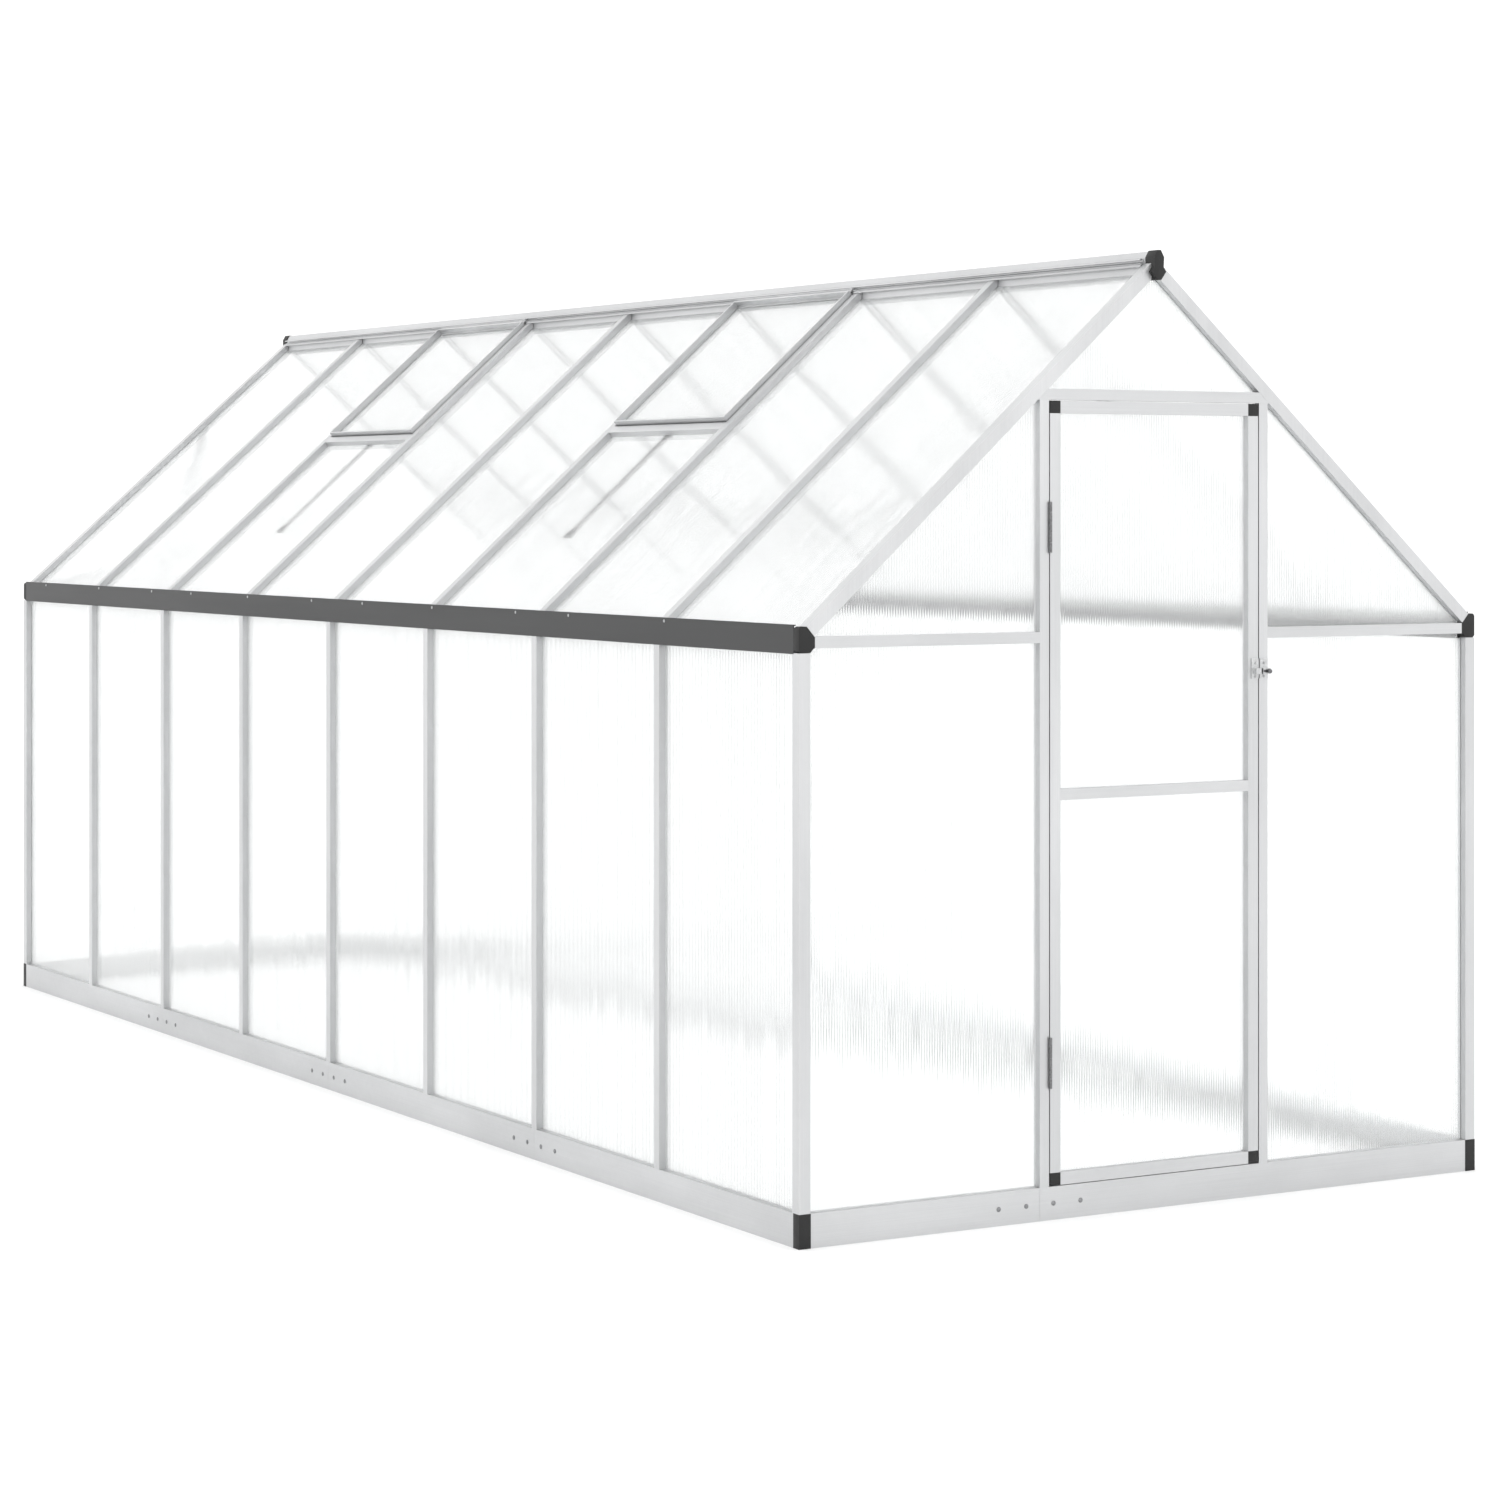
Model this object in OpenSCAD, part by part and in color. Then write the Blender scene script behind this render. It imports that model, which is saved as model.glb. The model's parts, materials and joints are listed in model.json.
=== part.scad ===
// Walk-in greenhouse: aluminium glazing bars, twin-wall sheets,
// a hinged door in the front gable and two hinged roof vents.
// X runs across the house, Y along it (the door is at the low-Y end), Z is up.
// The origin is on the ground, in the middle of the whole outline.

/* [House] */
// Outside width, face to face of the two long walls
house_w = 1668; // [1640:1:1700]
// Outside length, face to face of the two gables
house_l = 4420; // [4300:10:4520]
// Height of the line where the two roof planes would meet
apex_h = 1905; // [1890:1:1930]
// Slope of the roof in degrees
pitch = 41.6; // [41:0.1:42.2]
// Number of glazing bays along each long wall
bays = 8; // [8:1:9]

/* [Glazing bars] */
// Width of the visible outer box of a glazing bar
bar_w = 22; // [20:1:24]
// Depth of the outer box of a glazing bar, in front of the sheet
bar_box = 14; // [13:0.5:15]
// Full depth of a glazing bar
bar_d = 28; // [26:1:30]
// Width of the glazing slot
slot_w = 4.6; // [4.4:0.1:5]
// Thickness of the twin-wall sheets
sheet_t = 4; // [3.8:0.1:4]
// Side of the square corner posts and gable rafters
post_w = 25; // [25:0.5:26]

/* [Base] */
// Height of the base rails
base_h = 66; // [60:1:72]
// Depth of the base rails' top and bottom flanges
base_d = 26; // [26:1:30]
// Wall thickness of the base rails
base_t = 2; // [1.6:0.1:2.4]
// Distance between neighbouring splice bolts
bolt_gap = 65; // [60:1:70]

/* [Door] */
// Distance from the middle of the house to a door post's centre line
door_post_x = 271; // [265:1:280]
// Clearance between the door leaf and each door post
door_gap = 2.5; // [2:0.5:3]
// Height of the underside of the header over the door
header_h = 1617.5; // [1600:0.5:1625]
// Height of the middle of the door's mid rail
mid_rail_h = 838; // [780:1:900]
// Width of the door's stiles and rails
leaf_w = 25; // [24:0.5:26]
// Depth of the door leaf
leaf_d = 25; // [25:0.5:27]

/* [Roof vents] */
// Width of a vent
vent_w = 520; // [500:1:524]
// Distance down the slope from the apex to a vent's lower edge
vent_s = 466; // [440:1:490]
// Length of a vent stay from its pivot to the end of its blade
stay_l = 318; // [280:1:330]

/* [Hidden] */
$fn = 48;
hw = house_w / 2;
ca = cos(pitch);
sa = sin(pitch);
ta = tan(pitch);
knob_proud = 19;    // the latch knob stands this far in front of the gable
cap_proud = 12;     // the ridge caps stand this far out of each gable
yf = -house_l / 2 + (knob_proud - cap_proud) / 2;   // face of the front gable
yb = yf + house_l;                                   // face of the back gable
span = (house_l - post_w) / bays;
function bar_y(i) = yf + post_w / 2 + i * span;      // centre line of frame i
function roof_z(x) = apex_h - ta * abs(x);           // outer plane of the roof
eave_z = roof_z(hw);
gut_lo = eave_z - 37.5;
gut_hi = eave_z + 18.5;
v1 = bar_box + (slot_w - sheet_t) / 2;               // sheet, outer face depth
v2 = v1 + sheet_t;                                   // sheet, inner face depth
bw2 = bar_w / 2;
grip = 8;                                            // sheet edge inside a slot
wall = 1.6;                                          // bar wall thickness
rail_lo = eave_z - 26.5;                             // gable eave rail, underside
rail_hi = rail_lo + bar_w;
joint_x = -(door_post_x + bw2);                      // joint in the front base rail
splices = [2, 4, 6];                                 // frames where side base rails join
vent_bays = [2, 5];                                  // bays that carry a vent
gutter_screws = [530, 950, 1200, 1625, 2010, 2310, 2715, 3100, 3385, 3790, 4225];
leaf_x = door_post_x - bw2 - door_gap;               // door leaf half width
leaf_lo = base_h + 1.5;
leaf_hi = header_h - 1.4;
hinge_x = -(leaf_x + door_gap / 2);
hinge_y = yf - 3.6;
hinge_zs = [260, 1316];                              // undersides of the two hinges
bead_v = -6.84;                                      // vent hinge axis, above the roof plane
bead_s = 16;                                         // vent hinge axis, down the slope
sill_s = vent_s + 4;
stay_v = 25.6;                                       // stay pivot, under the roof plane
stay_s = sill_s + 12;
latch_z = 1071;

silver = "#d9dadb";
bright = "#e6e7e8";
graphite = "#5c5d5f";
black = "#2b2b2d";
steel = "#9a9c9e";
clear = "#f4f7f8";

// ---------- placing helpers ----------
// A flat (x, z) outline run along Y.
module along_y(y0, len) translate([0, y0 + len, 0]) rotate([90, 0, 0]) linear_extrude(len) children();
// A flat (y, z) outline run along X.
module along_x(x0, len) translate([x0, 0, 0]) rotate([90, 0, 90]) linear_extrude(len) children();
// The left roof plane: local x is Y, local y is depth under the plane,
// local z is the distance down the slope from the apex.
module on_slope() translate([0, 0, apex_h]) rotate([0, -(90 + pitch), 0]) rotate([0, 0, 90]) children();
// In the roof plane: a flat (depth, slope distance) outline run along Y.
module along_u(u0, len) translate([u0, 0, 0]) rotate([90, 0, 90]) linear_extrude(len) children();
module both_sides() { children(); mirror([1, 0, 0]) children(); }
// The same thing at the back gable, mirrored end for end.
module at_back() translate([0, yf + yb, 0]) mirror([0, 1, 0]) children();
module both_ends() { children(); at_back() children(); }

// ---------- extruded sections ----------
// Glazing bar: x across the bar, y depth from the outer face.
module bar_section() {
  difference() {
    polygon([[-bw2, 0], [bw2, 0], [bw2, bar_box], [2, bar_box], [2, bar_box + slot_w],
             [7, bar_box + slot_w], [7, bar_d], [3, bar_d], [3, bar_d - wall],
             [7 - wall, bar_d - wall], [7 - wall, bar_box + slot_w + wall],
             [wall - 7, bar_box + slot_w + wall], [wall - 7, bar_d - wall],
             [-3, bar_d - wall], [-3, bar_d], [-7, bar_d], [-7, bar_box + slot_w],
             [-2, bar_box + slot_w], [-2, bar_box], [-bw2, bar_box]]);
    translate([-bw2 + wall, wall]) square([bar_w - 2 * wall, bar_box - 2 * wall]);
  }
}
// Corner section: outer faces at x = 0 and y = 0, a slot in each inner face.
module corner_section() {
  s2 = bar_box + slot_w;
  difference() {
    square(post_w);
    translate([post_w - 5, bar_box]) square([6, slot_w]);
    translate([bar_box, post_w - 5]) square([slot_w, 6]);
    translate([wall, wall]) square(bar_box - 2 * wall);
  }
}
// Base rail: an open channel, outer face at x = 0.
module base_section() {
  t = base_t;
  polygon([[0, 0], [base_d, 0], [base_d, 8], [base_d - t, 8], [base_d - t, t], [t, t],
           [t, base_h - t], [base_d - t, base_h - t], [base_d - t, base_h - 8],
           [base_d, base_h - 8], [base_d, base_h], [0, base_h]]);
}
// Gutter: outer face at x = 0, heights from the eave line.
module gutter_section() {
  polygon([[0, -37.5], [35, -37.5], [35, -12], [33, -12], [33, -35.5], [2, -35.5],
           [2, 16.5], [5, 16.5], [5, 18.5], [0, 18.5]]);
}
// Ridge bar: hollow body with a hinge hook on each side.
module ridge_body() {
  difference() {
    polygon([[-3.5, 14.5], [3.5, 14.5], [10.5, 2], [9.5, -17], [9.5, -43],
             [-9.5, -43], [-9.5, -17], [-10.5, 2]]);
    polygon([[-2.6, 12.4], [2.6, 12.4], [8.4, 1.4], [7.5, -17], [7.5, -41],
             [-7.5, -41], [-7.5, -17], [-8.4, 1.4]]);
  }
}
hook_x = -(bead_s * ca - bead_v * sa);
hook_z = -(bead_s * sa) - bead_v * ca;
module ridge_hook() {
  difference() {
    union() {
      translate([hook_x, hook_z]) circle(r = 5.5);
      translate([-13, hook_z - 2]) square([3.6, 4.5]);
    }
    translate([hook_x, hook_z]) circle(r = 4);
    // the mouth of the hook, from straight back to down the slope
    translate([hook_x, hook_z]) polygon([[0, 0], [-9.06, 4.23], [-12, 0], [-10, -10], [-4.69, -8.83]]);
  }
  // skirt over the tops of the rafters
  polygon([[hook_x + 1, hook_z - 4.2], [hook_x - 0.6, hook_z - 4.9], [-20.9, -16], [-19.9, -16.9]]);
}
module ridge_cap_section(g = 0) {
  polygon([[-4 - g, 16 + g], [4 + g, 16 + g], [12 + g, 2], [11 + g, -18], [17 + g, -27.5],
           [5 + g, -44 - g], [-5 - g, -44 - g], [-17 - g, -27.5], [-11 - g, -18], [-12 - g, 2]]);
}
// Door leaf edge section: x from the leaf's outer edge inward, y depth.
module leaf_section() {
  difference() {
    polygon([[0, 0], [leaf_w, 0], [leaf_w, bar_box], [leaf_w - 9, bar_box],
             [leaf_w - 9, bar_box + slot_w], [leaf_w - 3, bar_box + slot_w],
             [leaf_w - 3, leaf_d], [0, leaf_d]]);
    translate([wall, wall]) square([leaf_w - 2 * wall, bar_box - 2 * wall]);
  }
}
// Vent frame edge: x from the outer edge inward, y depth under the roof plane.
module vent_wall() polygon([[0, -11.5], [4, -11.5], [4, 13.4], [0, 13.4]]);
module vent_flanges() {
  translate([3.9, 1.4]) square([6.1, 1.6]);
  translate([3.9, 7.6]) square([8.1, 1.6]);
}

// ---------- base ----------
module splice_holes_y(y, r) for (k = [-1.5, -0.5, 0.5, 1.5])
  translate([-hw - 5, y + k * bolt_gap, base_h / 2]) rotate([0, 90, 0]) cylinder(r = r, h = 20);
module splice_holes_x(x, r) for (k = [-1.5, -0.5, 0.5, 1.5])
  translate([x + k * bolt_gap, yf - 5, base_h / 2]) rotate([-90, 0, 0]) cylinder(r = r, h = 20);
cap_x = 25.8;
cap_y = 21.5;
module base_rails_side() {
  ends = concat([yf + cap_y + 0.1], [for (i = splices) bar_y(i)], [yb - cap_y - 0.1]);
  color(bright) for (k = [0:len(ends) - 2]) difference() {
    translate([-hw, 0, 0]) along_y(ends[k] + 0.2, ends[k + 1] - ends[k] - 0.4) base_section();
    for (i = splices) splice_holes_y(bar_y(i), 3.1);
  }
}
module base_rails_end() {
  ends = [-hw + cap_x + 0.1, joint_x, hw - cap_x - 0.1];
  color(bright) for (k = [0, 1]) difference() {
    translate([0, yf, 0]) along_x(ends[k] + 0.2, ends[k + 1] - ends[k] - 0.4) base_section();
    splice_holes_x(joint_x, 3.1);
  }
}
module turned_round() translate([0, yf + yb, 0]) rotate([0, 0, 180]) children();
module base_rails_left() base_rails_side();
module base_rails_right() mirror([1, 0, 0]) base_rails_side();
module base_rails_front() base_rails_end();
module base_rails_back() turned_round() base_rails_end();
module base_splice_plates() {
  color(silver) {
    both_sides() for (i = splices) difference() {
      translate([-hw + base_t + 0.1, bar_y(i) - 130, 8.5]) cube([2, 260, base_h - 17]);
      splice_holes_y(bar_y(i), 3.1);
    }
    for (a = [0, 1]) if (a == 0) splice_plate_end(); else turned_round() splice_plate_end();
  }
}
module splice_plate_end() difference() {
  translate([joint_x - 130, yf + base_t + 0.1, 8.5]) cube([260, 2, base_h - 17]);
  splice_holes_x(joint_x, 3.1);
}
// One bolt, pointing along +X from the rail's outer face.
module rail_bolt() rotate([0, 90, 0]) {
  translate([0, 0, -2.2]) cylinder(r = 5, h = 2.15);
  translate([0, 0, -0.1]) cylinder(r = 3, h = 11);
}
module rail_nut() translate([base_t + 2.3, 0, 0]) rotate([0, 90, 0]) difference() {
  cylinder(r = 5.6, h = 4.8, $fn = 6);
  translate([0, 0, -1]) cylinder(r = 3.05, h = 8);
}
module at_splices() {
  both_sides() for (i = splices, k = [-1.5, -0.5, 0.5, 1.5])
    translate([-hw, bar_y(i) + k * bolt_gap, base_h / 2]) children();
  for (k = [-1.5, -0.5, 0.5, 1.5]) {
    translate([joint_x + k * bolt_gap, yf, base_h / 2]) rotate([0, 0, 90]) children();
    turned_round() translate([joint_x + k * bolt_gap, yf, base_h / 2]) rotate([0, 0, 90]) children();
  }
}
module base_bolts() color(steel) at_splices() rail_bolt();
module base_nuts() color(steel) at_splices() rail_nut();
module base_corner_cap() {
  t = base_t + 0.4;
  translate([-hw - 0.4, yf - 0.4, 0]) cube([cap_x + 0.4, cap_y + 0.4, base_h]);
  translate([-hw + t, yf + 5, t + 0.2]) cube([base_d - 4.6 - t, 50, base_h - 2 * t - 0.4]);
  translate([-hw + 5, yf + t, t + 0.2]) cube([50, base_d - 4.6 - t, base_h - 2 * t - 0.4]);
}
module base_corner_caps() color(black) both_ends() both_sides() base_corner_cap();

// ---------- upright frame ----------
module corner_posts() color(bright) both_ends() both_sides() difference() {
  translate([-hw, yf, base_h + 0.1]) linear_extrude(eave_z - 35.7 - base_h) corner_section();
  // the gutter's end sits in a notch at the top
  translate([-hw - 1, yf + 20.3, eave_z - 37.6]) cube([40, 10, 10]);
}
module studs_side() color(bright) for (i = [1:bays - 1])
  translate([-hw, bar_y(i), base_h + 0.1]) linear_extrude(gut_lo - base_h - 0.2) rotate(-90) bar_section();
module studs_left() studs_side();
module studs_right() mirror([1, 0, 0]) studs_side();
module door_posts() color(bright) both_sides()
  translate([-door_post_x, yf, base_h + 0.1]) linear_extrude(header_h - base_h - 0.2) bar_section();
module under_gable_rafters(y0, len)
  along_y(y0, len) polygon([[-hw, 0], [hw, 0], [hw, eave_z - post_w / ca - 0.2],
                            [0, apex_h - post_w / ca - 0.2], [-hw, eave_z - post_w / ca - 0.2]]);
module studs_back() color(bright) at_back() both_sides() intersection() {
  translate([-door_post_x, yf, base_h + 0.1]) linear_extrude(apex_h) bar_section();
  under_gable_rafters(yf - 5, 50);
}
module gutter() color(graphite) difference() {
  translate([-hw, 0, eave_z]) along_y(yf + 20.4, house_l - 40.8) gutter_section();
  for (y = gutter_screws) translate([-hw - 3, yf + y, eave_z + 11.5]) rotate([0, 90, 0]) cylinder(r = 1.9, h = 8);
}
module gutter_left() gutter();
module gutter_right() mirror([1, 0, 0]) gutter();
module gutter_end_caps() color(black) both_ends() both_sides()
  translate([-hw, 0, eave_z]) along_y(yf - 0.5, 20.7)
    polygon([[-0.3, -31], [4, -35.5], [25, -35.5], [35, -25], [35, -5], [33.4, -3.9], [16.8, 14.7], [4, 15.5], [-0.3, 11]]);
module gutter_screws() color(steel) both_sides() for (y = gutter_screws)
  translate([-hw, yf + y, eave_z + 11.5]) rotate([0, 90, 0]) {
    translate([0, 0, -1.5]) cylinder(r = 3.2, h = 1.45);
    translate([0, 0, -0.1]) cylinder(r = 1.8, h = 4);
  }
module gable_bar(x0, x1, z0) translate([0, yf, z0 + bw2]) along_x(x0, x1 - x0) rotate(-90) bar_section();
module eave_rails_front() color(bright) both_sides()
  gable_bar(-hw + 35.2, -door_post_x - bw2 - 0.1, rail_lo);
module eave_rails_back() color(bright) at_back() {
  both_sides() gable_bar(-hw + 35.2, -door_post_x - bw2 - 0.1, rail_lo);
  gable_bar(-door_post_x + bw2 + 0.1, door_post_x - bw2 - 0.1, rail_lo);
}
module door_header() color(bright) intersection() {
  gable_bar(-hw, hw, header_h);
  under_gable_rafters(yf - 5, 50);
}

// ---------- roof frame ----------
module gable_rafter() difference() {
  on_slope() linear_extrude((hw - 17) / ca) translate([yf, 0]) corner_section();
  translate([-10.7, yf - 5, apex_h - 80]) cube([60, 60, 120]);
  translate([0, 0, apex_h]) along_y(yf - 5, 25) ridge_cap_section(0.2);
}
module gable_rafters_front() color(bright) both_sides() gable_rafter();
module gable_rafters_back() color(bright) at_back() both_sides() gable_rafter();
module rafters_side() color(bright) for (i = [1:bays - 1]) intersection() {
  on_slope() linear_extrude(hw / ca + 60) translate([bar_y(i), 0]) bar_section();
  translate([-hw + 5, bar_y(i) - 20, apex_h - 1000]) cube([hw - 5 - 10.7, 40, 1100]);
}
module rafters_left() rafters_side();
module rafters_right() mirror([1, 0, 0]) rafters_side();
module ridge_bar() color(bright) translate([0, 0, apex_h]) {
  along_y(yf + 20, house_l - 40) ridge_body();
  along_y(yf + 26, house_l - 52) { ridge_hook(); mirror([1, 0]) ridge_hook(); }
}
module ridge_end_caps() color(black) both_ends() translate([0, 0, apex_h]) {
  along_y(yf - cap_proud, cap_proud + 19.8) ridge_cap_section();
  along_y(yf + 10, 26) polygon([[-2, 11.4], [2, 11.4], [7.8, 1], [7.1, -17], [7.1, -40.5],
                                [-7.1, -40.5], [-7.1, -17], [-7.8, 1]]);
}

// ---------- roof vents ----------
function vent_y(b) = (bar_y(b) + bar_y(b + 1)) / 2;
module vent_sills() color(silver) on_slope() for (b = vent_bays)
  along_u(vent_y(b) - span / 2 + bw2 + 0.3, span - bar_w - 0.6) difference() {
    polygon([[0, sill_s], [0, sill_s + 22], [bar_box, sill_s + 22], [bar_box, sill_s + 6],
             [bar_box + slot_w, sill_s + 6], [bar_box + slot_w, sill_s + 18],
             [bar_box + slot_w + 1.4, sill_s + 18], [bar_box + slot_w + 1.4, sill_s],
             [bar_box + 1.4, sill_s], [bar_box + 1.4, sill_s - 18], [bar_box, sill_s - 18], [bar_box, sill_s]]);
    translate([wall, sill_s + wall]) square([bar_box - 2 * wall, 22 - 2 * wall]);
  }
module vent_frame(y) color(silver) on_slope() translate([y - vent_w / 2, 0, 0]) {
  top = bead_s + 12;
  // side rails
  for (m = [0, 1]) translate([m * vent_w, 0, top + 4.1]) mirror([m, 0, 0])
    linear_extrude(vent_s - top - 8.2) { vent_wall(); vent_flanges(); }
  // top rail with its hinge bead
  along_u(0, vent_w) {
    translate([-11.5, top]) square([24.9, 4]);
    translate([bead_v - 1, bead_s]) square([2, 13]);
    translate([bead_v, bead_s]) circle(r = 3.7);
  }
  along_u(12.2, vent_w - 24.4) translate([0, top]) mirror([1, -1]) vent_flanges();
  // lower rail
  along_u(0, vent_w) translate([-11.5, vent_s - 4]) square([24.9, 4]);
  // the lower rail's flanges point up the slope
  along_u(12.2, vent_w - 24.4) translate([0, vent_s]) rotate(-90) vent_flanges();
}
module vent_sheet(y) color(clear, 0.5) on_slope()
  translate([y - vent_w / 2 + 4.3, 3.3, bead_s + 16.4]) cube([vent_w - 8.6, 4, vent_s - bead_s - 20.8]);
module vent_near_frame() vent_frame(vent_y(vent_bays[0]));
module vent_far_frame() vent_frame(vent_y(vent_bays[1]));
module vent_near_sheet() vent_sheet(vent_y(vent_bays[0]));
module vent_far_sheet() vent_sheet(vent_y(vent_bays[1]));

// ---------- vent stays ----------
module stay_brackets() color(black) on_slope() for (b = vent_bays) translate([vent_y(b), 0, stay_s]) difference() {
  union() {
    translate([-12, 20.1, -8]) cube([24, 1.3, 18]);
    for (m = [0, 1]) mirror([m, 0, 0]) translate([7.2, 20.1, -8]) cube([1.8, 9.9, 18]);
  }
  translate([-20, stay_v, 0]) rotate([0, 90, 0]) cylinder(r = 2.05, h = 40);
}
module stay_pins() color(steel) on_slope() for (b = vent_bays)
  translate([vent_y(b) - 10.5, stay_v, stay_s]) rotate([0, 90, 0]) {
    cylinder(r = 2, h = 21);
    cylinder(r = 3.4, h = 1.2);
  }
module stay(y) color(silver) on_slope() translate([y, 0, stay_s]) difference() {
  union() {
    translate([-6.7, stay_v, 0]) rotate([0, 90, 0]) cylinder(r = 3.6, h = 13.4);
    translate([0, 27.5, 0]) rotate([90, 0, 0]) linear_extrude(5.5)
      polygon([[-6.7, 0], [6.7, 0], [6.7, 13], [9, 18], [6, stay_l], [-6, stay_l], [-9, 18], [-6.7, 13]]);
  }
  translate([-20, stay_v, 0]) rotate([0, 90, 0]) cylinder(r = 2.05, h = 40);
  for (k = [1:4]) translate([0, 32, 40 + k * 50]) rotate([90, 0, 0]) cylinder(r = 2.6, h = 20);
}
module stay_grip(y) color(black) on_slope() translate([y, 29, stay_s + stay_l + 0.2]) rotate([90, 0, 0])
  linear_extrude(8.5) polygon([[-7, 0], [7, 0], [9, 6], [21, 31], [19, 36], [-19, 36], [-21, 31], [-9, 6]]);
module stay_near() stay(vent_y(vent_bays[0]));
module stay_far() stay(vent_y(vent_bays[1]));
module stay_near_grip() stay_grip(vent_y(vent_bays[0]));
module stay_far_grip() stay_grip(vent_y(vent_bays[1]));

// ---------- glazing ----------
function sheet_y0(i) = i == 0 ? yf + post_w - 4.7 : bar_y(i) + bw2 - grip;
function sheet_y1(i) = i == bays - 1 ? yb - post_w + 4.7 : bar_y(i + 1) - bw2 + grip;
module wall_sheets() color(clear, 0.5) for (i = [0:bays - 1])
  translate([-hw + v1, sheet_y0(i), base_h + 0.4])
    cube([sheet_t, sheet_y1(i) - sheet_y0(i), gut_lo - base_h - 0.8]);
module wall_sheets_left() wall_sheets();
module wall_sheets_right() mirror([1, 0, 0]) wall_sheets();
module roof_sheet(i, s0) on_slope() translate([sheet_y0(i), v1, s0])
  cube([sheet_y1(i) - sheet_y0(i), sheet_t, (hw - 6 + v1 * sa) / ca - s0]);
module roof_sheets_left() color(clear, 0.5) for (i = [0:bays - 1])
  roof_sheet(i, (i == vent_bays[0] || i == vent_bays[1]) ? sill_s + 7 : 31);
module roof_sheets_right() color(clear, 0.5) mirror([1, 0, 0]) for (i = [0:bays - 1]) roof_sheet(i, 31);
under = (post_w - 4.5) / ca;      // a gable sheet's top edge, below the roof plane
module gable_sheet(pts) translate([0, 0, 0]) along_y(yf + v1, sheet_t) polygon(pts);
xo = hw - post_w + 4.6;           // outer edge of a gable sheet, in the corner post
xi = door_post_x + bw2 - grip;    // inner edge, in the door post
module gable_lower() gable_sheet([[-xo, base_h + 0.4], [-xi, base_h + 0.4], [-xi, rail_lo + grip],
  [-hw + 36, rail_lo + grip], [-hw + 36, eave_z - 36], [-xo, eave_z - 36]]);
function slope_x(z) = (apex_h - under - z) / ta;
module gable_sheets_front() color(clear, 0.5) {
  both_sides() {
    gable_lower();
    gable_sheet([[-hw + 36, rail_hi - grip + 2], [-xi, rail_hi - grip + 2], [-xi, header_h + 8],
      [-slope_x(header_h + 8), header_h + 8], [-hw + 36, roof_z(hw - 36) - under]]);
  }
  gable_sheet([[-slope_x(header_h + 16), header_h + 16], [slope_x(header_h + 16), header_h + 16],
    [slope_x(apex_h - 47), apex_h - 47], [-slope_x(apex_h - 47), apex_h - 47]]);
}
xm = door_post_x - bw2 + grip;    // edge of the middle sheets in the back studs
module gable_sheets_back() color(clear, 0.5) at_back() {
  both_sides() {
    gable_lower();
    gable_sheet([[-hw + 36, rail_hi - grip + 2], [-xi, rail_hi - grip + 2], [-xi, roof_z(xi) - under],
      [-hw + 36, roof_z(hw - 36) - under]]);
  }
  gable_sheet([[-xm, base_h + 0.4], [xm, base_h + 0.4], [xm, rail_lo + grip], [-xm, rail_lo + grip]]);
  gable_sheet([[-xm, rail_hi - grip + 2], [xm, rail_hi - grip + 2], [xm, roof_z(xm) - under],
    [slope_x(apex_h - 47), apex_h - 47], [-slope_x(apex_h - 47), apex_h - 47], [-xm, roof_z(xm) - under]]);
}

// ---------- door ----------
module door_stiles() color(bright) both_sides()
  translate([-leaf_x, yf, leaf_lo + leaf_w + 0.1]) linear_extrude(leaf_hi - leaf_lo - 2 * leaf_w - 0.2) leaf_section();
module door_rails() color(bright) {
  // bottom rail
  translate([0, yf, leaf_lo]) along_x(-leaf_x + leaf_w + 0.1, 2 * (leaf_x - leaf_w - 0.1)) leaf_section_yz();
  // top rail
  translate([0, yf, leaf_hi]) mirror([0, 0, 1]) along_x(-leaf_x + leaf_w + 0.1, 2 * (leaf_x - leaf_w - 0.1)) leaf_section_yz();
  // mid rail
  gable_bar(-leaf_x + leaf_w + 0.1, leaf_x - leaf_w - 0.1, mid_rail_h - bw2);
}
// The leaf section with its width upward: x depth, y up.
module leaf_section_yz() mirror([1, -1]) leaf_section();
module door_corner_cap() difference() {
  translate([-leaf_x, yf - 0.5, leaf_lo]) cube([leaf_w, leaf_d + 0.5, leaf_w]);
  translate([-leaf_x + leaf_w - 9, yf + bar_box, leaf_lo + leaf_w - 9]) cube([20, slot_w, 20]);
}
module door_corner_caps() color(black) both_sides() {
  door_corner_cap();
  translate([0, 0, leaf_lo + leaf_hi]) mirror([0, 0, 1]) door_corner_cap();
}
lx = leaf_x - leaf_w + grip;
module door_sheets() color(clear, 0.5) {
  translate([-lx, yf + v1, leaf_lo + leaf_w - grip]) cube([2 * lx, sheet_t, mid_rail_h - bw2 + grip - leaf_lo - leaf_w + grip]);
  translate([-lx, yf + v1, mid_rail_h + bw2 - grip]) cube([2 * lx, sheet_t, leaf_hi - leaf_w + grip - mid_rail_h - bw2 + grip]);
}

// ---------- hinges and latch ----------
module knuckle(z0, h) translate([hinge_x, hinge_y, z0]) cylinder(r = 3.2, h = h);
module hinge_half(x0, first) difference() {
  union() {
    for (z = hinge_zs) {
      translate([x0, yf + 0.1, z]) cube([0.9, 20, 100]);
      for (k = [first:2:4]) {
        knuckle(z + k * 20 + 0.3, 19.4);
        translate([x0, hinge_y, z + k * 20 + 0.3]) cube([0.9, 6, 19.4]);
      }
    }
  }
  for (z = hinge_zs) translate([hinge_x, hinge_y, z - 5]) cylinder(r = 1.55, h = 110);
}
module hinge_leaves_post() color(graphite) hinge_half(-door_post_x + bw2 + 0.05, 0);
module hinge_leaves_door() color(graphite) hinge_half(-leaf_x - 0.95, 1);
module hinge_pins() color(steel) for (z = hinge_zs) {
  translate([hinge_x, hinge_y, z - 2]) cylinder(r = 1.5, h = 104);
  translate([hinge_x, hinge_y, z + 100.2]) cylinder(r = 2.6, h = 1.8);
}
lat_y = yf - 7;
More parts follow.
